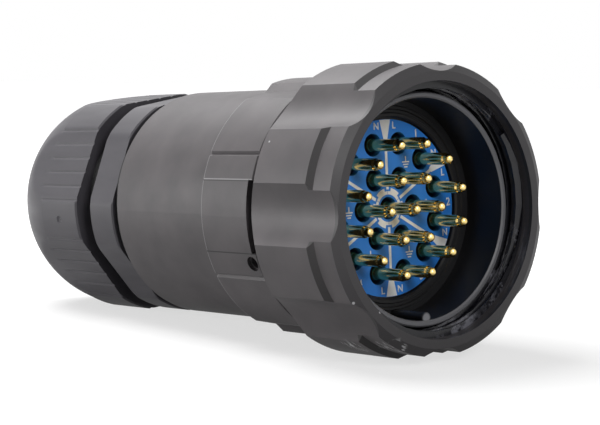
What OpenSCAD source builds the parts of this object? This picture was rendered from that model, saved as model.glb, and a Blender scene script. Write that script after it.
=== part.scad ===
// Nineteen-pin cable plug with a threaded coupling ring and a dome-nut cable gland.
// The connector's axis is +X, pointing to the mating end. The origin is on the axis
// at the coupling ring's front face, so the whole part lies at X <= 0. +Z is up.
// Each module draws its piece around the local Z axis, front at Z = 0, and lay()
// turns it onto the X axis. Millimetres.

/* [Coupling ring] */
// Radius over the grip lobes
ring_r = 29; // [28.4:0.1:30]
// Length from front face to rear face
ring_len = 25.4; // [24:0.2:28]
// Radius of the stepped-down land behind the front face
ring_land_r = 28; // [27.5:0.1:28.5]
// Number of grip flutes
flute_count = 8; // [6:1:10]
// Radius of the flute's hollow
flute_r = 9.7; // [8:0.1:12]
// Distance from the axis to the flute's floor
flute_floor_r = 26.4; // [26.2:0.1:27.5]
// Root radius of the coupling thread
thread_root_r = 24.5; // [24.3:0.1:24.8]
// Height of the coupling thread
thread_h = 1.2; // [0.6:0.1:1.3]
// Advance of the coupling thread in one turn
thread_lead = 5; // [4:0.5:8]
// Number of thread starts
thread_starts = 2; // [1:1:3]

/* [Plug shell] */
// Radius of the bore that takes the mating half
shell_bore_r = 21.45; // [21.2:0.05:21.6]
// Outer radius of the shell's front tube
shell_r = 22.65; // [22.5:0.05:22.8]
// Set-back of the shell's front edge from the ring's front face
shell_front = 5.1; // [4:0.1:7]
// Angle that shell, insert and backshell stand turned from the ring
body_turn = 2; // [-20:0.1:20]
// Radius of the round polarising key
key_r = 1.05; // [0.6:0.05:1.2]

/* [Insert and contacts] */
// Radius of the insert's front face
insert_face_r = 17.45; // [17:0.05:17.6]
// Depth of the insert's front face behind the ring's front face
insert_front = 15.4; // [14:0.1:17]
// Radius of the circle of twelve outer contacts
outer_circle_r = 13; // [12.5:0.1:13.5]
// Radius of the circle of six inner contacts
inner_circle_r = 6.6; // [6.2:0.1:7]
// Radius of a contact pin
pin_r = 1.2; // [1:0.05:1.3]
// Radius of a contact pin's rounded nose
nose_r = 0.97; // [0.8:0.01:1]
// Radius of the clearance well round each pin
well_r = 2.25; // [1.8:0.05:2.3]
// Depth of the clearance well
well_depth = 6; // [3:0.5:8]
// How far a pin stands out of the insert
pin_reach = 8.95; // [7:0.05:10]

/* [Backshell] */
// Radius of the collar at the front
collar_r = 26.3; // [26:0.1:26.5]
// Radius of the tube
tube_r = 24.05; // [23.8:0.05:24.6]
// Distance from the ring's front face to the collar's front face
collar_front = 25.9; // [25.8:0.1:28]
// Length of the collar
collar_len = 15.5; // [13:0.5:18]
// Distance from the ring's front face to the backshell's rear face
backshell_rear = 74.5; // [70:0.5:80]
// Radius of the hollow that holds the wires
wire_room_r = 21.7; // [21.2:0.1:22]

/* [Cable gland] */
// Half the width across the gland's flats
hex_flat = 22.8; // [22.5:0.1:24]
// Radius of the hexagon's rounded corners
hex_corner_r = 24.1; // [24:0.1:25.5]
// Thickness of the sealing washer under the hexagon
washer_len = 1.6; // [1:0.1:2.5]
// Length of the gland body's hexagon
hex_len = 8.6; // [6:0.2:12]
// Angle that the gland body's flats stand turned
gland_turn = 10; // [0:0.5:59]
// Bare thread between the hexagon and the dome nut
nut_gap = 4.4; // [3.8:0.1:6]
// Length of the dome nut from its front face to its tip
nut_len = 33.2; // [32:0.2:35]
// Half the width across the dome nut's flats
nut_flat = 23.2; // [23:0.1:24]
// Radius of the dome nut's rounded corners
nut_corner_r = 24.8; // [24.6:0.1:25.6]
// Angle that the dome nut's flats stand turned
nut_turn = 8; // [0:0.5:59]
// Radius of the dome
dome_r = 24.45; // [24:0.05:25]
// Radius of the opening that the cable enters
cable_hole_r = 14.5; // [13.5:0.1:15]
// Radius of the hole through the cable seal
seal_hole_r = 11.5; // [9:0.1:12]

/* [Hidden] */
fine = 96;
pin_names = [for (i = [1:19]) str("pin_", i < 10 ? "0" : "", i)];

black_metal = [0.36, 0.35, 0.36];
black_plastic = [0.27, 0.26, 0.29];
rubber_black = [0.08, 0.08, 0.08];
eps = 0.01;

// Coupling ring: front chamfer, step between the two lands, rear chamfer, bores
face_chamfer = 0.8;
step_start = 5.6;
step_len = 1.2;
rear_chamfer = 3.4;
shoulder_len = 3.4;
neck_r = 22.2;
neck_clearance = 0.05;
mouth_depth = 2.4;
thread_end = 16.5;
mouth_r = 24.6;
thread_root_flat = 0.3;
thread_flank = 0.5;
thread_steps = 36;
thread_turn = 90;
relief_start = 36.5;
relief_angle = 12;
relief_len = 1;
relief_r = 24.3;

// Plug shell: flange that the ring bears on, floor of the mating bore, rear spigot
flange_r = 24.1;
flange_len = 2;
flange_rear = 21.6;
floor_z = 14.9;
floor_len = 3;
insert_bore_r = 20.3;
spigot_r = 21;
spigot_end = 39;
key_centre_r = 21;
key_front = 5.8;

// Stack inside the plug shell, as distances behind the ring's front face
insert_shoulder = floor_z + floor_len;
insert_rear = 27.5;
insulator_rear = 33.5;
insert_nut_rear = 37;
pin_root_r = 1.35;
pin_flange_r = 1.9;
pin_flange_len = 2.5;
barrel_r = 1.65;
barrel_rear = 41;
solder_cup_r = 1.2;
solder_cup_depth = 6;

// Backshell: the collar's grooves, field, ledges and set screw
groove_at = 27.5;
field_half = 15.8;
field_setback = 1.2;
ledge_start = 58.5;
ledge_end = 70;
ledge_drop = 1.1;
screw_at = 20.5;
screw_back = 1.9;
screw_hole_r = 1.25;
screw_sink_r = 1.55;

// Cable gland, as distances behind the ring's front face
hex_front = backshell_rear + washer_len;
hex_rear = hex_front + hex_len;
nut_front = hex_rear + nut_gap;
nut_rear = nut_front + nut_len;
gland_thread_r = 20;
gland_thread_len = 10;
neck_thread_r = 20.9;
nut_clearance = 0.06;
neck_rear = nut_front + 11;
gland_bore_r = 16;
cage_seat = hex_rear + 3.3;
cage_bore_r = 17.6;
cage_front = cage_seat + 4;
cage_r = 17.2;
cage_bend = cage_front + 11.5;
cage_shoulder = cage_front + 15;
cage_rear = cage_front + 21.4;
finger_count = 12;
finger_slot = 0.8;
seal_r = 15.6;
seal_rear = cage_front + 24.5;
cone_front = nut_front + 17;
cone_r = 19.2;
cone_rear = nut_front + 28.5;
cone_end_r = 15.2;
finger_clearance = 0.37;
rib_count = 6;
rib_pitch = 3.3;
rib_groove = 0.6;
flats_overrun = 1.8;
corner_overrun = 0.4;
gate_mark_r = 0.7;
gate_mark_depth = 0.25;
gate_mark_at = nut_front + 7.2;
dome_centre = nut_rear - sqrt(dome_r * dome_r - cable_hole_r * cable_hole_r);

// Turns a piece drawn around Z onto the connector's axis: Z goes to X, X to Y, Y to Z
module lay(turn = 0) {
    rotate([90, 0, 90]) rotate([0, 0, turn]) children();
}

// A solid of revolution from [radius, distance behind the front face] points
module turned(points) {
    rotate_extrude($fn = fine) polygon([for (p = points) [p[0], -p[1]]]);
}

// A ring of rectangular section
module band(r_in, r_out, front, rear) {
    turned([[r_in, front], [r_out, front], [r_out, rear], [r_in, rear]]);
}

// A rod parallel to the axis at a given distance and angle
module rod(dist, angle, r, front, rear) {
    rotate([0, 0, angle]) translate([dist, 0, -rear]) cylinder(r = r, h = rear - front, $fn = 48);
}

// A round-cornered hexagonal prism, flats at 30 degrees plus multiples of 60
module rounded_hex(flat, corner_r, front, rear) {
    intersection() {
        translate([0, 0, -rear]) cylinder(r = flat / cos(30), h = rear - front, $fn = 6);
        translate([0, 0, -rear]) cylinder(r = corner_r, h = rear - front, $fn = fine);
    }
}

// Nineteen contact places as [radius, angle]: twelve outer, six inner, one centre
contact_places = concat(
    [for (i = [0:11]) [outer_circle_r, 15 + 30 * i]],
    [for (i = [0:5]) [inner_circle_r, 60 * i]],
    [[0, 0]]);

// The internal thread is what is left when this screw-shaped core is cut from the ring.
// Around the core each column of points follows the thread's section, and each column
// stands a step further back than the last, so that the rows run along the helix.
thread_pitch = thread_lead / thread_starts;
thread_section = [
    [thread_root_r, 0], [thread_root_r, thread_root_flat],
    [thread_root_r - thread_h, thread_root_flat + thread_flank],
    [thread_root_r - thread_h, thread_pitch - thread_flank]];
core_pitches = ceil((thread_end - mouth_depth) / thread_pitch) + 2 * thread_starts;
core_rows = 4 * core_pitches;
turn_rows = 4 * thread_starts;
core_start = mouth_depth - thread_lead - thread_pitch / 2;
function core_point(i, j) =
    let (a = -360 * i / thread_steps, p = thread_section[j % 4])
        [p[0] * cos(a), p[0] * sin(a),
         -(core_start + floor(j / 4) * thread_pitch + p[1] + thread_lead * i / thread_steps)];
function core_index(i, j) =
    i < thread_steps ? i * (core_rows + 1) + j : j + turn_rows;
module thread_core() {
    points = concat(
        [for (i = [0:thread_steps - 1], j = [0:core_rows]) core_point(i, j)],
        [[0, 0, -core_start], [0, 0, -core_start - core_pitches * thread_pitch]]);
    front = thread_steps * (core_rows + 1);
    side = [for (i = [0:thread_steps - 1], j = [0:core_rows - (i < thread_steps - 1 ? 1 : turn_rows + 1)])
        let (a = core_index(i, j), b = core_index(i + 1, j), c = core_index(i + 1, j + 1),
             d = core_index(i, j + 1))
            each [[a, c, b], [a, d, c]]];
    front_cap = concat(
        [for (i = [0:thread_steps - 1]) [front, core_index(i, 0), core_index(i + 1, 0)]],
        [for (j = [0:turn_rows - 1]) [front, core_index(0, j + 1), core_index(0, j)]]);
    rear_cap = concat(
        [for (i = [0:thread_steps - 2])
            [front + 1, core_index(i + 1, core_rows), core_index(i, core_rows)]],
        [[front + 1, core_index(0, core_rows), core_index(thread_steps - 1, core_rows - turn_rows)]],
        [for (j = [core_rows - turn_rows:core_rows - 1])
            [front + 1, core_index(thread_steps - 1, j), core_index(thread_steps - 1, j + 1)]]);
    polyhedron(points, concat(side, front_cap, rear_cap), convexity = 10);
}

module ring_blank() {
    rear_lip = ring_len - rear_chamfer;
    thread_bore = thread_root_r - thread_h - 0.1;
    turned([
        [mouth_r, 0], [flute_floor_r, 0], [ring_land_r, face_chamfer],
        [ring_land_r, step_start], [ring_r, step_start + step_len],
        [ring_r, rear_lip], [flute_floor_r - 0.1, ring_len],
        [neck_r + neck_clearance, ring_len], [neck_r + neck_clearance, ring_len - shoulder_len],
        [mouth_r, ring_len - shoulder_len], [mouth_r, thread_end],
        [thread_bore, thread_end], [thread_bore, mouth_depth], [mouth_r, mouth_depth]]);
}

module coupling_ring() {
    color(black_metal) lay()
        difference() {
            ring_blank();
            for (i = [0:flute_count - 1])
                rod(flute_floor_r + flute_r, i * 360 / flute_count, flute_r, -1, ring_len + 1);
            rotate([0, 0, thread_turn]) intersection() {
                thread_core();
                band(0, 30, mouth_depth - 0.5, thread_end + 0.5);
            }
            // Each start of the thread begins bluntly, after a short relief
            for (i = [0:thread_starts - 1])
                rotate([0, 0, relief_start + i * 360 / thread_starts])
                    rotate_extrude(angle = relief_angle, $fn = fine)
                        translate([relief_r - 2, -mouth_depth - relief_len])
                            square([2, relief_len + 0.5]);
        }
}

module plug_shell() {
    color(black_metal) lay(body_turn) {
        difference() {
            turned([
                [shell_bore_r, shell_front + 0.3], [shell_bore_r + 0.3, shell_front],
                [shell_r - 0.3, shell_front], [shell_r, shell_front + 0.3],
                [shell_r, flange_rear - flange_len], [flange_r, flange_rear - flange_len],
                [flange_r, flange_rear], [neck_r, flange_rear],
                [neck_r, collar_front], [spigot_r, collar_front],
                [spigot_r, spigot_end], [insert_bore_r, spigot_end],
                [insert_bore_r, insert_shoulder], [insert_face_r + 0.05, insert_shoulder],
                [insert_face_r + 0.05, floor_z + 1], [shell_bore_r, floor_z + 1]]);
            band(spigot_r - 0.5, spigot_r + 1, 34.5, 36.5);
        }
        rod(key_centre_r, 270, key_r, key_front, floor_z + 1 + eps);
    }
}

// Flat rubber seal with two raised lips, lying on the floor of the mating bore
module face_seal() {
    lip = 0.35;
    color(rubber_black) lay(body_turn)
        difference() {
            turned([
                [17.8, floor_z + 1], [17.8, floor_z], [18.1, floor_z - lip], [18.6, floor_z - lip],
                [18.8, floor_z], [19.3, floor_z], [19.5, floor_z - lip], [20, floor_z - lip],
                [20.2, floor_z], [shell_bore_r - 0.05, floor_z], [shell_bore_r - 0.05, floor_z + 1]]);
            rod(key_centre_r, 270, key_r + 0.1, key_front, floor_z + 2);
        }
}

module contact_insert() {
    color([0.12, 0.38, 0.71]) lay(body_turn)
        difference() {
            turned([
                [0, insert_front], [insert_face_r, insert_front],
                [insert_face_r, insert_shoulder], [insert_bore_r - 0.02, insert_shoulder],
                [insert_bore_r - 0.02, insert_rear], [0, insert_rear]]);
            for (c = contact_places) {
                rod(c[0], c[1], well_r, insert_front - 1, insert_front + well_depth);
                rod(c[0], c[1], pin_root_r, insert_front + 1, insert_rear + 1);
                rod(c[0], c[1], pin_flange_r, insert_rear - pin_flange_len, insert_rear + 1);
            }
        }
}

module rear_insulator() {
    color([0.13, 0.13, 0.14]) lay(body_turn)
        difference() {
            band(0, insert_bore_r - 0.02, insert_rear, insulator_rear);
            for (c = contact_places)
                rod(c[0], c[1], barrel_r, insert_rear - 1, insulator_rear + 1);
        }
}

// Threaded ring with two key slots that holds the insert stack in the shell
module insert_nut() {
    color(black_metal) lay(body_turn)
        difference() {
            band(17.4, insert_bore_r, insulator_rear, insert_nut_rear);
            translate([-25, -1.2, -insert_nut_rear - 1]) cube([50, 2.4, 2.6]);
        }
}

module contact_pin(i) {
    place = contact_places[i];
    tip = insert_front - pin_reach;
    nose_back = tip + nose_r;
    color([0.85, 0.66, 0.28]) lay(body_turn)
        rotate([0, 0, place[1]]) translate([place[0], 0, 0])
            difference() {
                union() {
                    translate([0, 0, -nose_back]) sphere(r = nose_r, $fn = 48);
                    turned([
                        [0, nose_back], [nose_r, nose_back], [nose_r, nose_back + 0.5],
                        [pin_r, nose_back + 0.9], [pin_r, insert_front],
                        [pin_root_r, insert_front + 0.3], [pin_root_r, insert_rear - pin_flange_len],
                        [pin_flange_r, insert_rear - pin_flange_len], [pin_flange_r, insert_rear],
                        [barrel_r, insert_rear], [barrel_r, barrel_rear], [0, barrel_rear]]);
                }
                translate([0, 0, -barrel_rear - 1])
                    cylinder(r = solder_cup_r, h = solder_cup_depth + 1, $fn = 32);
            }
}

// Thin washer between the shell's flange and the ring's shoulder
module thrust_washer() {
    color([0.6, 0.6, 0.62]) lay()
        band(neck_r + 0.4, flange_r - 0.4, flange_rear, flange_rear + 0.3);
}

module collar_ledge(side) {
    inner = collar_r - ledge_drop;
    mirror([0, side < 0 ? 1 : 0, 0])
        translate([0, 0, -collar_front - collar_len - eps])
            linear_extrude(collar_len + 1)
                polygon([
                    [collar_r * cos(ledge_start), collar_r * sin(ledge_start)],
                    [32 * cos(ledge_start), 32 * sin(ledge_start)],
                    [32 * cos(ledge_end + 7), 32 * sin(ledge_end + 7)],
                    [collar_r * cos(ledge_end + 5), collar_r * sin(ledge_end + 5)],
                    [inner * cos(ledge_end), inner * sin(ledge_end)]]);
}

module backshell() {
    collar_rear = collar_front + collar_len;
    color(black_metal) lay(180 + body_turn)
        difference() {
            turned([
                [spigot_r, collar_front], [collar_r - 0.2, collar_front],
                [collar_r, collar_front + 0.2], [collar_r, collar_rear],
                [tube_r, collar_rear], [tube_r, backshell_rear - 0.4],
                [tube_r - 0.4, backshell_rear], [gland_thread_r, backshell_rear],
                [gland_thread_r, backshell_rear - gland_thread_len - 2],
                [wire_room_r, backshell_rear - gland_thread_len - 4],
                [wire_room_r, spigot_end + 3], [spigot_r, spigot_end + 1]]);
            // Two straight grooves beside the plain field, on each side of the collar
            for (side = [0, 180], a = [-groove_at, groove_at])
                rotate([0, 0, side + a]) translate([collar_r - 0.5, 0, -collar_rear - 1])
                    rotate([0, 0, -45]) cube([2, 2, collar_len + 2]);
            // The collar's front edge is set back along the plain field
            for (side = [0, 180])
                rotate([0, 0, side - field_half])
                    rotate_extrude(angle = 2 * field_half, $fn = fine)
                        translate([collar_r - 2.2, -collar_front - field_setback])
                            square([4, field_setback + 1]);
            // Milled ledges between the grooves and the two wide pads
            for (side = [0, 180], m = [-1, 1])
                rotate([0, 0, side]) collar_ledge(m);
            // Tapped hole of the set screw, with its countersink
            rotate([0, 0, screw_at]) translate([0, 0, -collar_front - screw_back]) {
                rotate([0, 90, 0]) cylinder(r = screw_hole_r, h = 40, $fn = 32);
                translate([collar_r - 0.8, 0, 0]) rotate([0, 90, 0])
                    cylinder(r = screw_sink_r, h = 10, $fn = 32);
            }
        }
}

module set_screw() {
    color([0.2, 0.2, 0.2]) lay(180 + body_turn)
        rotate([0, 0, screw_at]) translate([0, 0, -collar_front - screw_back]) rotate([0, 90, 0])
            difference() {
                translate([0, 0, spigot_r + 0.05]) cylinder(r = screw_hole_r - 0.02, h = 3.2, $fn = 32);
                translate([0, 0, spigot_r + 2]) cylinder(r = 0.75, h = 5, $fn = 6);
            }
}

// Seal between the plug shell's spigot and the backshell
module shell_o_ring() {
    color(rubber_black) lay()
        rotate_extrude($fn = fine) translate([spigot_r - 0.26, -35.5]) circle(r = 0.24, $fn = 24);
}

module gland_body() {
    color(black_plastic) lay(gland_turn)
        difference() {
            union() {
                rounded_hex(hex_flat, hex_corner_r, hex_front, hex_rear);
                turned([
                    [0, hex_front - gland_thread_len], [gland_thread_r - 0.8, hex_front - gland_thread_len],
                    [gland_thread_r, hex_front - gland_thread_len + 0.8], [gland_thread_r, hex_front + 1],
                    [0, hex_front + 1]]);
                turned([
                    [0, hex_rear - 1], [neck_thread_r, hex_rear - 1], [neck_thread_r, neck_rear - 0.8],
                    [neck_thread_r - 0.8, neck_rear], [0, neck_rear]]);
            }
            band(0, gland_bore_r, hex_front - gland_thread_len - 1, neck_rear + 1);
            band(0, cage_bore_r, cage_seat, neck_rear + 1);
        }
}

// Flat seal squeezed between the backshell's rear rim and the gland's hexagon
module gland_washer() {
    color(rubber_black) lay() band(gland_thread_r + 0.1, 23, backshell_rear, hex_front);
}

// Springy fingers that the dome nut's cone closes on the cable seal
module clamp_cage() {
    cone_slope = (cone_r - cone_end_r) / (cone_rear - cone_front);
    shoulder_r = cone_r - cone_slope * (cage_shoulder - cone_front) - finger_clearance;
    tip_r = cone_r - cone_slope * (cage_rear - cone_front) - finger_clearance;
    color([0.12, 0.12, 0.13]) lay(gland_turn)
        difference() {
            turned([
                [seal_r, cage_front], [cage_r, cage_front], [cage_r, cage_bend],
                [shoulder_r, cage_shoulder], [tip_r, cage_rear], [seal_r, cage_rear]]);
            for (i = [0:finger_count - 1])
                rotate([0, 0, i * 360 / finger_count])
                    translate([seal_r - 1, -finger_slot / 2, -cage_rear - 1])
                        cube([8, finger_slot, cage_rear - cage_front - 3]);
        }
}

// Soft bush that grips the cable
module cable_seal() {
    taper = seal_rear - cage_rear;
    color(rubber_black) lay()
        turned([
            [seal_hole_r + 0.8, cage_front + 0.8], [seal_r, cage_front + 0.8], [seal_r, cage_rear],
            [seal_r - taper / 2, seal_rear], [seal_hole_r + 0.8, seal_rear],
            [seal_hole_r, seal_rear - 0.8], [seal_hole_r, cage_front + 1.6]]);
}

// Six flats on a domed cap, cut from the front to just past the start of the dome
module nut_outside() {
    flats_end = dome_centre + flats_overrun;
    difference() {
        union() {
            band(0, nut_corner_r, nut_front, dome_centre + corner_overrun);
            intersection() {
                translate([0, 0, -dome_centre]) sphere(r = dome_r, $fn = fine);
                band(0, 30, dome_centre, nut_rear);
            }
        }
        for (k = [0:5]) rotate([0, 0, 30 + 60 * k]) {
            translate([nut_flat, -20, -flats_end]) cube([10, 40, flats_end - nut_front + 1]);
            // Fine grip grooves along the flat
            for (j = [0:rib_count - 1])
                translate([nut_flat, (j - (rib_count - 1) / 2) * rib_pitch, -flats_end])
                    rotate([0, 0, 45]) translate([-rib_groove / 2, -rib_groove / 2, 0])
                        cube([rib_groove, rib_groove, flats_end - nut_front + 1]);
        }
        // Moulding gate mark on one corner
        rotate([0, 0, 180]) translate([nut_corner_r - gate_mark_depth, 0, -gate_mark_at])
            rotate([0, 90, 0]) cylinder(r = gate_mark_r, h = 2, $fn = 24);
    }
}

module dome_nut() {
    color(black_plastic) lay(nut_turn)
        difference() {
            nut_outside();
            turned([
                [0, nut_front - 1], [neck_thread_r + nut_clearance, nut_front - 1],
                [neck_thread_r + nut_clearance, cone_front - 2], [cone_r, cone_front],
                [cone_end_r, cone_rear], [cable_hole_r, cone_rear + 0.7],
                [cable_hole_r, nut_rear + 1], [0, nut_rear + 1]]);
        }
}

coupling_ring();
plug_shell();
face_seal();
contact_insert();
rear_insulator();
insert_nut();
thrust_washer();
backshell();
shell_o_ring();
set_screw();
gland_body();
gland_washer();
clamp_cage();
cable_seal();
dome_nut();
for (i = [0:18]) contact_pin(i);
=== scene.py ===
"""Dresses the nineteen-pin cable plug, from the floor it lies on to its dome nut.

Metres, on the plug's own axes: +X leaves the mating end, +Z is up, and the origin is
on the axis at the coupling ring's front face.
"""

import math

import bmesh
import bpy
from mathutils import Matrix, Vector


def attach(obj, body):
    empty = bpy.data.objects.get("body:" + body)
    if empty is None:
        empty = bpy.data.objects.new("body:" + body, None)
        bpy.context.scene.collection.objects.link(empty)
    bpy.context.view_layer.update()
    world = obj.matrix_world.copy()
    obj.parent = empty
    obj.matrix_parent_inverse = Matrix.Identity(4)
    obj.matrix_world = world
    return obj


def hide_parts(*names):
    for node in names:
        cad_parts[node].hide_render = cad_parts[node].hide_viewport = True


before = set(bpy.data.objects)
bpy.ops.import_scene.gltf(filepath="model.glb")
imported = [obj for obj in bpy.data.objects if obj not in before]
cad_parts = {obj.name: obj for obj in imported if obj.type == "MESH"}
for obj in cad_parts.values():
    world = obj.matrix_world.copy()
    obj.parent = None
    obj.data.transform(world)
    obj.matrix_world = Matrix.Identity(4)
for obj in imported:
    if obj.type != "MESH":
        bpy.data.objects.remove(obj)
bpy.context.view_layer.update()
MM = 0.001


# ---------------------------------------------------------------- floor and studio
# The plug lies on two lobes of its coupling ring and on the shoulder of its dome nut,
# so its axis slopes a little. The pale floor runs through these three places.

def linear(hex_colour):
    """An sRGB hex colour as Blender's linear RGBA."""
    shares = [int(hex_colour[i:i + 2], 16) / 255 for i in (0, 2, 4)]
    return [s / 12.92 if s <= 0.04045 else ((s + 0.055) / 1.055) ** 2.4 for s in shares] + [1.0]


def add(tree, kind, inputs=None, **properties):
    """Adds one shader node. Inputs are values, or the sockets that feed them."""
    node = tree.nodes.new("ShaderNode" + kind)
    for name, value in properties.items():
        setattr(node, name, value)
    for key, value in (inputs or {}).items():
        if isinstance(value, bpy.types.NodeSocket):
            tree.links.new(value, node.inputs[key])
        else:
            node.inputs[key].default_value = value
    return node


def start_material(name):
    """A new material with an empty tree."""
    made = bpy.data.materials.new(name)
    made.use_nodes = True
    made.node_tree.nodes.clear()
    return made, made.node_tree


def finished_piece(name, shape, material):
    """Links a finished bmesh as an object at the origin, with its one material."""
    mesh = bpy.data.meshes.new(name)
    shape.to_mesh(mesh)
    shape.free()
    mesh.materials.append(material)
    made = bpy.data.objects.new(name, mesh)
    bpy.context.scene.collection.objects.link(made)
    return made


def shown(tree, rays):
    """1 for the rays that show the backdrop: camera, glossy and transmission rays."""
    seen = add(tree, "Math", {0: rays["Is Camera Ray"], 1: rays["Is Glossy Ray"]},
               operation="MAXIMUM")
    return add(tree, "Math", {0: seen.outputs[0], 1: rays["Is Transmission Ray"]},
               operation="MAXIMUM").outputs[0]


ring_foot = Vector((-22, 0, -28.39)) * MM
dome_foot = Vector((-102.7, 0, -24.45)) * MM
floor_tilt = math.atan2(dome_foot.z - ring_foot.z, ring_foot.x - dome_foot.x)
floor_radius = 3.0

# White paper sweep with a painted shadow: its glow is dimmed near the plug, and it is white beyond.
paper, tree = start_material("white_paper_sweep")
place = add(tree, "TexCoord").outputs["Object"]
reach = add(tree, "VectorMath", {0: place, 1: (-0.06, 0, -0.027)}, operation="DISTANCE")
rays = add(tree, "LightPath").outputs
# painted shadow: near the plug the floor's glow is dimmed, more in reflections than for the camera
painted_shadow_level = add(tree, "Math", {0: rays["Is Camera Ray"], 1: 0.4, 2: 0.25},
             operation="MULTIPLY_ADD")
painted_shadow_falloff = add(tree, "MapRange", {"Value": reach.outputs["Value"], "From Min": 0.06, "From Max": 0.2,
                             "To Min": painted_shadow_level.outputs[0], "To Max": 1.0},
          interpolation_type="SMOOTHSTEP")
glow = add(tree, "Math", {0: painted_shadow_falloff.outputs[0], 1: shown(tree, rays)}, operation="MULTIPLY")
sheet = add(tree, "BsdfPrincipled", {
    "Base Color": linear("A0A0A0"), "Roughness": 0.9, "Specular IOR Level": 0.1,
    "Emission Color": (1, 1, 1, 1), "Emission Strength": glow.outputs[0]})
add(tree, "OutputMaterial", {"Surface": sheet.outputs[0]})

shape = bmesh.new()
bmesh.ops.create_circle(shape, cap_ends=True, segments=64, radius=floor_radius)
bmesh.ops.rotate(shape, verts=shape.verts, matrix=Matrix.Rotation(floor_tilt, 3, "Y"))
bmesh.ops.translate(shape, verts=shape.verts, vec=ring_foot)
finished_piece("paper_floor", shape, paper)

# The room lights the plug softly from all sides, and looks white itself
world = bpy.data.worlds.new("white_room")
world.use_nodes = True
tree = world.node_tree
tree.nodes.clear()
rays = add(tree, "LightPath").outputs
room = add(tree, "Background", {"Color": (1, 1, 1, 1), "Strength": 0.05})
backdrop = add(tree, "Background", {"Color": (1, 1, 1, 1), "Strength": 1.0})
both = add(tree, "MixShader", {0: shown(tree, rays), 1: room.outputs[0], 2: backdrop.outputs[0]})
add(tree, "OutputWorld", {"Surface": both.outputs[0]})
bpy.context.scene.world = world


def soft_box(name, place, target, width, height, watts):
    """A rectangular soft box at a place, turned to a target. Millimetres."""
    lamp = bpy.data.lights.new(name, "AREA")
    lamp.shape = "RECTANGLE"
    lamp.size, lamp.size_y, lamp.energy = width * MM, height * MM, watts
    made = bpy.data.objects.new(name, lamp)
    made.location = Vector(place) * MM
    made.rotation_euler = (Vector(target) - Vector(place)).to_track_quat("-Z", "Y").to_euler()
    bpy.context.scene.collection.objects.link(made)


middle = (-55, 0, 0)
soft_box("soft_box_above", (-260, -70, 510), middle, 420, 300, 4.0)
soft_box("soft_box_left", (-350, -540, 40), middle, 420, 260, 2.4)
soft_box("soft_box_front", (480, -150, 250), (-15, 0, 0), 220, 220, 1.3)

camera = bpy.data.cameras.new("camera")
camera.sensor_width = 36
camera.lens = 111.23
camera.clip_start, camera.clip_end = 0.01, 20
eye = Vector((252.393, -245.976, 16.968)) * MM
right = Vector((0.641197, 0.767164, -0.018079))
up = Vector((-0.025352, 0.044725, 0.998678))
view = bpy.data.objects.new("camera", camera)
turned = Matrix((right, up, right.cross(up))).transposed()
view.matrix_world = Matrix.Translation(eye) @ turned.to_4x4()
bpy.context.scene.collection.objects.link(view)
bpy.context.scene.camera = view
bpy.context.scene.view_settings.view_transform = "Standard"


# ---------------------------------------------------------------- plug shell
# Turned and black anodised aluminium tube with the polarising key, held inside the ring. It is
# painted near black all over as painted shade for its deep bore, and its front chamfer has a thin
# painted highlight.

def dress(names, material):
    """Gives every slot of these CAD nodes one material."""
    for name in names:
        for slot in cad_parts[name].material_slots:
            slot.material = material


def radius_from_axis(tree, place):
    """The distance from the plug's axis at a place, in metres."""
    flat = add(tree, "VectorMath", {0: place, 1: (0, 1, 1)}, operation="MULTIPLY")
    return add(tree, "VectorMath", {0: flat.outputs[0]}, operation="LENGTH").outputs["Value"]


def turned_lines(tree, place, pitch_mm, depth_mm, strength):
    """The normal of a surface with fine lathe marks round the axis."""
    lines = add(tree, "Mapping", {"Vector": place, "Scale": (1 / (pitch_mm * MM), 12, 12)})
    marks = add(tree, "TexNoise", {"Vector": lines.outputs[0], "Scale": 1.0, "Detail": 2.0})
    return add(tree, "Bump", {"Strength": strength, "Distance": depth_mm * MM,
                              "Height": marks.outputs[0]}).outputs[0]


def anodised(name, dark_hex, light_hex, roughness, specular=0.4):
    """Black anodised aluminium, turned on a lathe: a satin black with a soft broad sheen,
    faint turning lines, and a slightly cloudy dye."""
    made, tree = start_material(name)
    place = add(tree, "TexCoord").outputs["Object"]
    # the dye clouds over about 8 mm, and fingers leave patches of about 15 mm
    clouds = add(tree, "TexNoise", {"Vector": place, "Scale": 125.0, "Detail": 3.0})
    cloudy = add(tree, "MapRange", {"Value": clouds.outputs[0], "From Min": 0.3, "From Max": 0.7})
    colour = add(tree, "Mix", {0: cloudy.outputs[0], 6: linear(dark_hex), 7: linear(light_hex)},
                 data_type="RGBA")
    patches = add(tree, "TexNoise", {"Vector": place, "Scale": 65.0, "Detail": 4.0})
    rough = add(tree, "MapRange", {"Value": patches.outputs[0], "From Min": 0.3, "From Max": 0.7,
                                   "To Min": roughness - 0.05, "To Max": roughness + 0.06})
    surface = add(tree, "BsdfPrincipled", {
        "Base Color": colour.outputs[2], "Roughness": rough.outputs[0],
        "Specular IOR Level": specular,
        "Normal": turned_lines(tree, place, 0.35, 0.012, 0.35)})
    add(tree, "OutputMaterial", {"Surface": surface.outputs[0]})
    return made, tree, surface


def worn_spot(tree, place, x, y, z, reach):
    """1 at a place and 0 from a distance on. Millimetres."""
    away = add(tree, "VectorMath", {0: place, 1: (x * MM, y * MM, z * MM)}, operation="DISTANCE")
    return add(tree, "MapRange", {"Value": away.outputs["Value"], "From Min": reach * MM,
                                  "From Max": 0.6 * reach * MM}).outputs[0]


def over(tree, surface, share, hex_colour):
    """Lays a colour over what a surface already has, where the share is 1."""
    below = surface.inputs["Base Color"].links[0].from_socket
    mixed = add(tree, "Mix", {0: share, 6: below, 7: linear(hex_colour)}, data_type="RGBA")
    tree.links.new(mixed.outputs[2], surface.inputs["Base Color"])


# painted shade: the shell is painted far darker than the other anodised parts, for the shade in its
# bore
shell_painted_shade, tree, surface = anodised("black_anodised_painted_shade_bore", "0C0C0E", "121215", 0.38)
place = add(tree, "TexCoord").outputs["Object"]
along = add(tree, "SeparateXYZ", {0: place}).outputs["X"]
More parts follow.
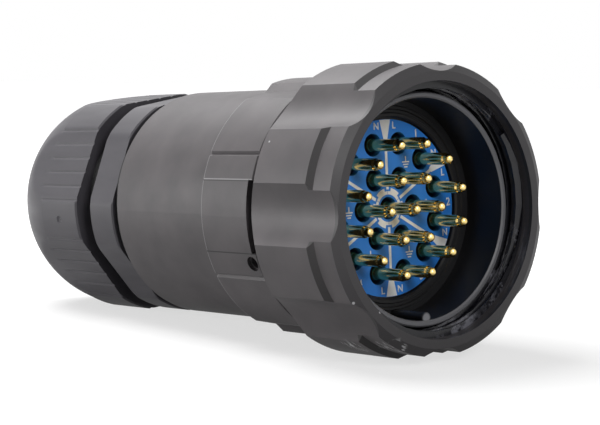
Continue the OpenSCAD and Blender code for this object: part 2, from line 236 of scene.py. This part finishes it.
# the mating half has rubbed the key's end almost bare; the lighter front chamfer is a painted
# highlight
chamfer_highlight = add(tree, "MapRange", {"Value": along, "From Min": -5.5 * MM, "From Max": -5.35 * MM})
key_end = worn_spot(tree, place, -5.8, 0.73, -20.99, 1.15)
over(tree, surface, key_end, "8E8E92")
over(tree, surface, chamfer_highlight.outputs[0], "6F6F73")
dress(["plug_shell"], shell_painted_shade)


# ---------------------------------------------------------------- face seal
# Soft black rubber washer with two moulded lips on the floor of the mating bore.

def rubber(name, hex_colour, roughness):
    """Moulded rubber: near black and matt, with a fine bloom."""
    made, tree = start_material(name)
    place = add(tree, "TexCoord").outputs["Object"]
    bloom = add(tree, "TexNoise", {"Vector": place, "Scale": 900.0, "Detail": 4.0})
    rough = add(tree, "MapRange", {"Value": bloom.outputs[0], "To Min": roughness - 0.08,
                                   "To Max": roughness + 0.08})
    grain = add(tree, "Bump", {"Strength": 0.3, "Distance": 0.02 * MM, "Height": bloom.outputs[0]})
    surface = add(tree, "BsdfPrincipled", {
        "Base Color": linear(hex_colour), "Roughness": rough.outputs[0],
        "Specular IOR Level": 0.3, "Normal": grain.outputs[0]})
    add(tree, "OutputMaterial", {"Surface": surface.outputs[0]})
    return made


dress(["face_seal"], rubber("black_rubber_seal", "141416", 0.5))


# ---------------------------------------------------------------- contact insert
# Blue moulded thermoset disc with nineteen wells, screen-printed in light grey with
# the six circuits' dividing lines, their numbers, earth signs and L and N terminals.

insert_turn = math.radians(2)
insert_face = -15.4 * MM
ink_thickness = 0.03 * MM

moulded_blue, tree = start_material("blue_moulded_insulator")
place = add(tree, "TexCoord").outputs["Object"]
mottle = add(tree, "TexNoise", {"Vector": place, "Scale": 260.0, "Detail": 4.0})
colour = add(tree, "Mix", {0: mottle.outputs[0], 6: linear("2478D6"), 7: linear("2F86E2")},
             data_type="RGBA")
# the wells are deeper in colour, as little light comes back out of them
depth = add(tree, "SeparateXYZ", {0: place})
in_well = add(tree, "MapRange", {"Value": depth.outputs["X"], "From Min": insert_face - 0.2 * MM,
                                 "From Max": insert_face - 1.6 * MM})
deep = add(tree, "Mix", {0: in_well.outputs[0], 6: colour.outputs[2], 7: linear("1B2A52")},
           data_type="RGBA")
fine_grain = add(tree, "TexNoise", {"Vector": place, "Scale": 2500.0})
grain = add(tree, "Bump", {"Strength": 0.25, "Distance": 0.02 * MM,
                           "Height": fine_grain.outputs[0]})
surface = add(tree, "BsdfPrincipled", {
    "Base Color": deep.outputs[2], "Roughness": 0.42, "Specular IOR Level": 0.4,
    "Normal": grain.outputs[0]})
add(tree, "OutputMaterial", {"Surface": surface.outputs[0]})
dress(["contact_insert"], moulded_blue)

# Screen-printing ink: thin, matt, slightly uneven light grey
ink, tree = start_material("light_grey_screen_ink")
place = add(tree, "TexCoord").outputs["Object"]
thin = add(tree, "TexNoise", {"Vector": place, "Scale": 1400.0, "Detail": 3.0})
colour = add(tree, "Mix", {0: thin.outputs[0], 6: linear("E2E6EA"), 7: linear("F6F7F8")},
             data_type="RGBA")
surface = add(tree, "BsdfPrincipled", {"Base Color": colour.outputs[2], "Roughness": 0.6})
add(tree, "OutputMaterial", {"Surface": surface.outputs[0]})


def inked(shape, points):
    """Adds one flat mark from its corners in millimetres, right and up on the face."""
    corners = [shape.verts.new((0, y * MM, z * MM)) for y, z in points]
    shape.faces.new(corners)


def turned_by(points, degrees):
    """Corners turned round the axis."""
    a = math.radians(degrees)
    return [(y * math.cos(a) - z * math.sin(a), y * math.sin(a) + z * math.cos(a))
            for y, z in points]


def ring_piece(r_in, r_out, start, end, steps):
    """Corners of a piece of a flat ring, from one angle to another."""
    angles = [math.radians(start + (end - start) * i / steps) for i in range(steps + 1)]
    return ([(r_in * math.cos(a), r_in * math.sin(a)) for a in angles]
            + [(r_out * math.cos(a), r_out * math.sin(a)) for a in reversed(angles)])


def laid_on_insert(shape):
    """Gives flat marks the ink's thickness and lays them on the insert's face."""
    bmesh.ops.recalc_face_normals(shape, faces=shape.faces)
    raised = bmesh.ops.extrude_face_region(shape, geom=shape.faces[:])
    top = [v for v in raised["geom"] if isinstance(v, bmesh.types.BMVert)]
    bmesh.ops.translate(shape, verts=top, vec=(ink_thickness, 0, 0))
    bmesh.ops.recalc_face_normals(shape, faces=shape.faces)
    bmesh.ops.rotate(shape, verts=shape.verts, matrix=Matrix.Rotation(insert_turn, 3, "X"))
    bmesh.ops.translate(shape, verts=shape.verts, vec=(insert_face, 0, 0))


# Six dividing lines that widen to wedges at the rim, and the cog round the middle
shape = bmesh.new()
for k in range(6):
    line = [(3.7, -0.31), (13.5, -0.31), (13.5, -0.5), (17.34, -1.4),
            (17.4, 0), (17.34, 1.4), (13.5, 0.5), (13.5, 0.31), (3.7, 0.31)]
    inked(shape, turned_by(line, 30 + 60 * k))
    inked(shape, ring_piece(2.7, 3.35, 60 * k - 29, 60 * k + 29, 8))
    inked(shape, ring_piece(3.35, 4.0, 60 * k - 17, 60 * k + 17, 6))
    # protective earth: a stem on three bars, always upright
    a = math.radians(60 * k)
    y, z = 10.3 * math.cos(a), 10.3 * math.sin(a)
    for half_wide, low, high in ((0.125, 0.0, 1.02), (0.95, -0.25, 0.0),
                                 (0.7, -0.75, -0.5), (0.45, -1.25, -1.0)):
        inked(shape, [(y - half_wide, z + low), (y + half_wide, z + low),
                      (y + half_wide, z + high), (y - half_wide, z + high)])
laid_on_insert(shape)
print_lines = finished_piece("insert_print_lines", shape, ink)
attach(print_lines, "plug_body")


def inked_sign(sign, height, y, z):
    """A generic terminal sign as a mesh, centred at a place on the face. Millimetres."""
    curve = bpy.data.curves.new("sign", "FONT")
    curve.body, curve.align_x, curve.align_y = sign, "CENTER", "CENTER"
    curve.size = height * MM / 0.72
    curve.offset = 0.05 * MM
    drawn = bpy.data.objects.new("sign", curve)
    bpy.context.scene.collection.objects.link(drawn)
    bpy.context.view_layer.update()
    mesh = bpy.data.meshes.new_from_object(drawn)
    bpy.data.objects.remove(drawn)
    bpy.data.curves.remove(curve)
    part = bmesh.new()
    part.from_mesh(mesh)
    bpy.data.meshes.remove(mesh)
    bmesh.ops.remove_doubles(part, verts=part.verts, dist=1e-6)
    # drawn on X and Y, and stood up on Y and Z to be read from the mating end
    onto_face = Matrix(((0, 0, 1), (1, 0, 0), (0, 1, 0)))
    bmesh.ops.transform(part, matrix=onto_face.to_4x4(), verts=part.verts)
    bmesh.ops.translate(part, verts=part.verts, vec=(0, y * MM, z * MM))
    laid_on_insert(part)
    return part


signs = bmesh.new()
spots = []
for k in range(6):
    wedge = 30 + 60 * k
    spots += [("N", 1.4, 16.3, wedge + 8.2), ("L", 1.4, 16.3, wedge - 8.2)]
    spots += [("216543"[k], 1.6, 16.4, 60 * k)]
for sign, height, r, degrees in spots:
    a = math.radians(degrees)
    part = inked_sign(sign, height, r * math.cos(a), r * math.sin(a))
    mesh = bpy.data.meshes.new("sign")
    part.to_mesh(mesh)
    part.free()
    signs.from_mesh(mesh)
    bpy.data.meshes.remove(mesh)
print_signs = finished_piece("insert_print_signs", signs, ink)
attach(print_signs, "plug_body")


# ---------------------------------------------------------------- contacts
# Nineteen turned brass pins, gold plated: a mirror with a warm yellow, with rounded
# noses, faint turning lines and a little wear from mating.

gold, tree = start_material("gold_plated_brass")
place = add(tree, "TexCoord").outputs["Object"]
wear = add(tree, "TexNoise", {"Vector": place, "Scale": 900.0, "Detail": 3.0})
colour = add(tree, "Mix", {0: wear.outputs[0], 6: linear("EFCB72"), 7: linear("FBE6A6")},
             data_type="RGBA")
rough = add(tree, "MapRange", {"Value": wear.outputs[0], "From Min": 0.3, "From Max": 0.7,
                               "To Min": 0.1, "To Max": 0.2})
surface = add(tree, "BsdfPrincipled", {
    "Base Color": colour.outputs[2], "Metallic": 1.0, "Roughness": rough.outputs[0],
    "Normal": turned_lines(tree, place, 0.25, 0.004, 0.3)})
add(tree, "OutputMaterial", {"Surface": surface.outputs[0]})
dress([f"pin_{i:02d}" for i in range(1, 20)], gold)


# ---------------------------------------------------------------- rear insulator
# Black moulded disc behind the insert that keeps the solder cups apart.

insulator, tree = start_material("black_phenolic_moulding")
place = add(tree, "TexCoord").outputs["Object"]
mottle = add(tree, "TexNoise", {"Vector": place, "Scale": 400.0, "Detail": 4.0})
colour = add(tree, "Mix", {0: mottle.outputs[0], 6: linear("1B1B1D"), 7: linear("262629")},
             data_type="RGBA")
surface = add(tree, "BsdfPrincipled", {"Base Color": colour.outputs[2], "Roughness": 0.45})
add(tree, "OutputMaterial", {"Surface": surface.outputs[0]})
dress(["rear_insulator"], insulator)


# ---------------------------------------------------------------- insert nut
# Slotted ring of black anodised aluminium that screws in behind the insulator.

nut_black, tree, surface = anodised("black_anodised_nut", "3A393B", "454345", 0.45)
dress(["insert_nut"], nut_black)


# ---------------------------------------------------------------- thrust washer
# Thin stainless steel washer between the shell's flange and the ring's shoulder.

steel, tree = start_material("stainless_steel_sheet")
place = add(tree, "TexCoord").outputs["Object"]
scratch = add(tree, "TexNoise", {"Vector": place, "Scale": 1500.0, "Detail": 2.0})
rough = add(tree, "MapRange", {"Value": scratch.outputs[0], "To Min": 0.25, "To Max": 0.45})
surface = add(tree, "BsdfPrincipled", {
    "Base Color": linear("B4B4B6"), "Metallic": 1.0, "Roughness": rough.outputs[0]})
add(tree, "OutputMaterial", {"Surface": surface.outputs[0]})
dress(["thrust_washer"], steel)


# ---------------------------------------------------------------- coupling ring
# Turned from aluminium bar, its grip flutes milled with a round cutter, and black
# anodised. The thread inside is glossier where it runs, and rubbed pale in places.

ring_black, tree, surface = anodised("black_anodised_ring", "494648", "555153", 0.46)
place = add(tree, "TexCoord").outputs["Object"]
radius = radius_from_axis(tree, place)
inside = add(tree, "MapRange", {"Value": radius, "From Min": 24.7 * MM, "From Max": 24.5 * MM})
# painted shade: the slanted step behind the lobes' front land and the end face are painted a deeper
# black
step_x, step_half, land_r, chamfer_end = -6.2, 0.62, 28.03, -0.85
depth = add(tree, "SeparateXYZ", {0: place}).outputs["X"]
step = add(tree, "Math", {0: depth, 1: step_x * MM, 2: step_half * MM}, operation="COMPARE")
proud = add(tree, "Math", {0: radius, 1: land_r * MM}, operation="GREATER_THAN")
step = add(tree, "Math", {0: step.outputs[0], 1: proud.outputs[0]}, operation="MULTIPLY")
over(tree, surface, step.outputs[0], "2E2C2D")
end_face_painted_shade = add(tree, "Math", {0: depth, 1: chamfer_end * MM}, operation="GREATER_THAN")
over(tree, surface, end_face_painted_shade.outputs[0], "383638")
# painted shade: the bore and thread inside the ring are painted near black
over(tree, surface, inside.outputs[0], "131319")
# dry marks run along the thread where it has worked: a pale grey in broken streaks
along = add(tree, "Mapping", {"Vector": place, "Scale": (1500, 170, 170)})
streak = add(tree, "TexNoise", {"Vector": along.outputs[0], "Scale": 1.0, "Detail": 6.0,
                                "Roughness": 0.75})
streaks = add(tree, "MapRange", {"Value": streak.outputs[0], "From Min": 0.5, "From Max": 0.62})
for spot in ((-2.6, 10.5, 21.4, 9), (-2.8, 18.5, -15.5, 8), (-2.8, 6.0, -23.3, 7),
             (-3.0, 22.5, -8.0, 5)):
    there = worn_spot(tree, place, *spot)
    rubbed = add(tree, "Math", {0: streaks.outputs[0], 1: there}, operation="MULTIPLY")
    rubbed = add(tree, "Math", {0: rubbed.outputs[0], 1: inside.outputs[0]}, operation="MULTIPLY")
    over(tree, surface, rubbed.outputs[0], "77777F")
# knocks on two lobes have gone through to bare metal
knock = add(tree, "TexNoise", {"Vector": along.outputs[0], "Scale": 2.2, "Detail": 3.0})
knocks = add(tree, "MapRange", {"Value": knock.outputs[0], "From Min": 0.53, "From Max": 0.62})
for spot in ((-10.8, -13.4, -25.7, 3.2), (-2.6, -11.8, -25.4, 3.4)):
    there = worn_spot(tree, place, *spot)
    bare = add(tree, "Math", {0: knocks.outputs[0], 1: there}, operation="MULTIPLY")
    over(tree, surface, bare.outputs[0], "E2E2E4")
# painted highlights: three small glints on the ring's edges are painted pale grey
for spot in ((-0.64, -22.53, -16.07, 0.35), (0, -16.62, -18.14, 0.3), (-20.4, -25.6, 13.6, 0.25)):
    over(tree, surface, worn_spot(tree, place, *spot), "B4B4B6")
outer = surface.inputs["Roughness"].links[0].from_socket
gloss = add(tree, "Mix", {0: inside.outputs[0], 2: outer, 3: 0.26}, data_type="FLOAT")
tree.links.new(gloss.outputs[0], surface.inputs["Roughness"])
dress(["coupling_ring"], ring_black)


# ---------------------------------------------------------------- backshell
# Turned tube with a wider collar at the front, black anodised like the ring, that
# screws onto the shell. The collar has plain fields, grooves and milled ledges.

tube_black, tree, surface = anodised("black_anodised_tube", "434042", "524E50", 0.46)
place = add(tree, "TexCoord").outputs["Object"]
along = add(tree, "SeparateXYZ", {0: place}).outputs["X"]
radius = radius_from_axis(tree, place)
# painted highlight: a thin light line along the collar's rear edge
collar_rear, collar_r = -41.4, 26.3
collar_edge = add(tree, "Math", {0: along, 1: collar_rear * MM, 2: 0.14 * MM},
                  operation="COMPARE")
proud = add(tree, "Math", {0: radius, 1: (collar_r - 0.2) * MM}, operation="GREATER_THAN")
painted_edge_highlight = add(tree, "Math", {0: collar_edge.outputs[0], 1: proud.outputs[0]},
               operation="MULTIPLY")
over(tree, surface, painted_edge_highlight.outputs[0], "807E80")
# painted highlights and painted shade: light lines along two long edges of the collar's two flats,
# with a dark line under each light line and on the other edges
across = add(tree, "VectorMath", {0: place, 1: (0, 1, 1)}, operation="MULTIPLY")
on_collar = add(tree, "Math", {0: along, 1: (collar_rear - 0.1) * MM}, operation="GREATER_THAN")
for degrees, lift, hex_colour in ((166.2, 0.08, "8A888A"), (166.2, -0.17, "151416"),
                                  (197.8, 0.0, "1A191B"), (-13.8, -0.08, "8A888A"),
                                  (17.8, 0.0, "1A191B")):
    a = math.radians(degrees)
    edge = (0, collar_r * math.cos(a) * MM, (collar_r * math.sin(a) + lift) * MM)
    away = add(tree, "VectorMath", {0: across.outputs[0], 1: edge}, operation="DISTANCE")
    near = add(tree, "MapRange", {"Value": away.outputs["Value"], "From Min": 0.16 * MM,
                                  "From Max": 0.08 * MM})
    drawn = add(tree, "Math", {0: near.outputs[0], 1: on_collar.outputs[0]}, operation="MULTIPLY")
    over(tree, surface, drawn.outputs[0], hex_colour)
dress(["backshell"], tube_black)
dress(["shell_o_ring"], rubber("black_rubber_ring", "121212", 0.4))

screw_steel, tree = start_material("black_oxide_steel")
place = add(tree, "TexCoord").outputs["Object"]
oxide = add(tree, "TexNoise", {"Vector": place, "Scale": 1800.0, "Detail": 2.0})
rough = add(tree, "MapRange", {"Value": oxide.outputs[0], "To Min": 0.35, "To Max": 0.55})
surface = add(tree, "BsdfPrincipled", {
    "Base Color": linear("2C2B2B"), "Metallic": 1.0, "Roughness": rough.outputs[0]})
add(tree, "OutputMaterial", {"Surface": surface.outputs[0]})
dress(["set_screw"], screw_steel)


# ---------------------------------------------------------------- cable gland
# Moulded glass-filled polyamide: gland body and dome nut in a dark grey with a soft
# gloss and fine moulded grain, over a rubber washer, black cage and rubber bush.

def polyamide(name, dark_hex, light_hex, roughness):
    """Glass-filled polyamide, moulded: dark, faintly streaky and slightly glossy."""
    made, tree = start_material(name)
    place = add(tree, "TexCoord").outputs["Object"]
    flow = add(tree, "Mapping", {"Vector": place, "Scale": (60, 220, 220)})
    streaks = add(tree, "TexNoise", {"Vector": flow.outputs[0], "Scale": 1.0, "Detail": 5.0})
    mixed = add(tree, "MapRange", {"Value": streaks.outputs[0], "From Min": 0.3, "From Max": 0.7})
    colour = add(tree, "Mix", {0: mixed.outputs[0], 6: linear(dark_hex), 7: linear(light_hex)},
                 data_type="RGBA")
    rough = add(tree, "MapRange", {"Value": streaks.outputs[0], "To Min": roughness + 0.08,
                                   "To Max": roughness - 0.08})
    pores = add(tree, "TexNoise", {"Vector": place, "Scale": 3000.0, "Detail": 2.0})
    grain = add(tree, "Bump", {"Strength": 0.35, "Distance": 0.02 * MM, "Height": pores.outputs[0]})
    surface = add(tree, "BsdfPrincipled", {
        "Base Color": colour.outputs[2], "Roughness": rough.outputs[0],
        "Specular IOR Level": 0.4, "Normal": grain.outputs[0]})
    add(tree, "OutputMaterial", {"Surface": surface.outputs[0]})
    return made


def spun(profile, steps):
    """A closed solid spun round the axis. The profile is (radius, distance behind the
    front face) in millimetres, in a closed loop."""
    made = bmesh.new()
    corners = [made.verts.new((-back * MM, radius * MM, 0)) for radius, back in profile]
    edges = [made.edges.new((a, b)) for a, b in zip(corners, corners[1:] + corners[:1])]
    bmesh.ops.spin(made, geom=corners + edges, cent=(0, 0, 0), axis=(1, 0, 0),
                   angle=math.tau, steps=steps, use_merge=True)
    bmesh.ops.remove_doubles(made, verts=made.verts, dist=1e-7)
    return made


def evenly(start, end, step):
    """Distances from start to end, at most one step apart."""
    count = max(1, math.ceil(abs(end - start) / step))
    return [start + (end - start) * i / count for i in range(count + 1)]


def smaller(a, b, blend):
    """The smaller of two sizes, with the corner between them rounded off."""
    h = max(blend - abs(a - b), 0) / blend
    return min(a, b) - h * h * blend / 4


def soft_edges(piece, degrees):
    """Smooth shading, except over edges sharper than this."""
    piece.data.shade_smooth()
    piece.data.set_sharp_from_angle(angle=math.radians(degrees))


hex_flat, hex_corner, hex_front, hex_rear = 22.8, 24.1, 76.1, 84.7
neck_r, neck_rear, neck_pitch, neck_depth = 20.9, 100.1, 1.5, 0.9
spigot_r, spigot_front, gland_bore_r = 20.0, 66.1, 16.0
seat_r, seat_back, run_in = 17.6, 88.0, 0.8
gland_turn = 10
outside = ([(spigot_r - run_in, spigot_front), (spigot_r, spigot_front + run_in),
            (spigot_r, hex_front)]
           + [(hex_corner - 0.3, hex_front), (hex_corner, hex_front + 0.3)]
           + [(hex_corner, b) for b in evenly(hex_front + 0.8, hex_rear - 0.8, 1.2)]
           + [(hex_corner, hex_rear - 0.3), (hex_corner - 0.3, hex_rear)]
           + [(neck_r, b) for b in evenly(hex_rear, neck_rear - run_in, neck_pitch / 8)]
           + [(neck_r - run_in, neck_rear), (seat_r, neck_rear), (seat_r, seat_back),
              (gland_bore_r, seat_back), (gland_bore_r, spigot_front)])
shape = spun(outside, 360)
for v in shape.verts:
    r, back = math.hypot(v.co.y, v.co.z) / MM, -v.co.x / MM
    turn = math.degrees(math.atan2(v.co.z, v.co.y))
    if r > neck_r + 1:
        from_flat = math.radians((turn - gland_turn) % 60 - 30)
        new_r = smaller(r, hex_flat / math.cos(from_flat), 0.25)
    elif abs(r - neck_r) < 0.01 and back > hex_rear + 0.3:
        # one right-hand thread at the 1.5 mm a turn that the nut travels
        phase = ((back - hex_rear) / neck_pitch + turn / 360) % 1
        runs_in = min((back - hex_rear - 0.3) / 1.0, 1)
        new_r = neck_r - neck_depth * runs_in * max(0, 1 - abs(phase - 0.5) / 0.42)
    else:
        continue
    v.co.y *= new_r / r
    v.co.z *= new_r / r
bmesh.ops.recalc_face_normals(shape, faces=shape.faces)
gland_grey = polyamide("dark_grey_polyamide", "3C3A3F", "47454A", 0.44)
# painted shade: the threaded neck in the gap between hex and nut is painted near black
neck_painted_shade = polyamide("painted_shade_neck_polyamide", "0C0C0D", "121213", 0.4)
gland = finished_piece("gland_body_threaded", shape, gland_grey)
gland.data.materials.append(neck_painted_shade)
for face in gland.data.polygons:
    if -face.center.x / MM > hex_rear and math.hypot(face.center.y, face.center.z) < 21.2 * MM:
        face.material_index = 1
soft_edges(gland, 28)
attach(gland, "plug_body")
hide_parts("gland_body")

dress(["clamp_cage"], polyamide("black_polyamide", "1C1C1E", "262628", 0.45))
dress(["gland_washer", "cable_seal"], rubber("black_rubber_gland", "161617", 0.55))


# ---------------------------------------------------------------- dome nut
# Moulded in the same polyamide. Its six flats fade out onto the dome, each has six
# fine grip grooves, and one corner keeps the small round mark of the moulding gate.

nut_flat, nut_corner, nut_front, nut_rear = 23.2, 24.8, 89.1, 122.3
dome_r, cable_hole_r, nut_bore_r = 24.45, 14.5, 20.96
dome_centre = nut_rear - math.sqrt(dome_r ** 2 - cable_hole_r ** 2)
nut_turn = 8
dome = [(dome_r * math.cos(a), dome_centre + dome_r * math.sin(a))
        for a in evenly(0.03, math.acos(cable_hole_r / dome_r), 0.035)]
outside = ([(nut_bore_r, nut_front), (nut_corner - 0.35, nut_front)]
           + [(nut_corner, b) for b in evenly(nut_front + 0.35, dome_centre + 0.4, 0.35)]
           + dome + [(cable_hole_r, 118.3), (15.2, 117.6), (19.2, 106.1), (nut_bore_r, 104.1)])
groove_pitch, groove_half, groove_depth, groove_end = 3.3, 0.4, 0.22, dome_centre + 1.8
gate_turn, gate_back, gate_r, gate_depth = 188, 96.3, 0.7, 0.25
shape = spun(outside, 720)
for v in shape.verts:
    r, back = math.hypot(v.co.y, v.co.z) / MM, -v.co.x / MM
    if r < nut_flat - 0.1:
        continue
    turn = math.degrees(math.atan2(v.co.z, v.co.y))
    from_flat = math.radians((turn - nut_turn) % 60 - 30)
    flat_r = nut_flat / math.cos(from_flat)
    across = abs(nut_flat * math.tan(from_flat))
    if back < groove_end and across < 2.9 * groove_pitch:
        nearest = abs((across / groove_pitch) % 1 - 0.5) * groove_pitch
        flat_r -= groove_depth * max(0, 1 - nearest / groove_half)
    new_r = smaller(r, flat_r, 0.2)
    round_from_gate = math.radians((turn - gate_turn + 180) % 360 - 180) * r
    gate_away = math.hypot(back - gate_back, round_from_gate)
    if gate_away < gate_r:
        new_r -= gate_depth
    v.co.y *= new_r / r
    v.co.z *= new_r / r
bmesh.ops.recalc_face_normals(shape, faces=shape.faces)
nut = finished_piece("dome_nut_moulded", shape, gland_grey)
soft_edges(nut, 24)
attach(nut, "dome_nut")
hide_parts("dome_nut")
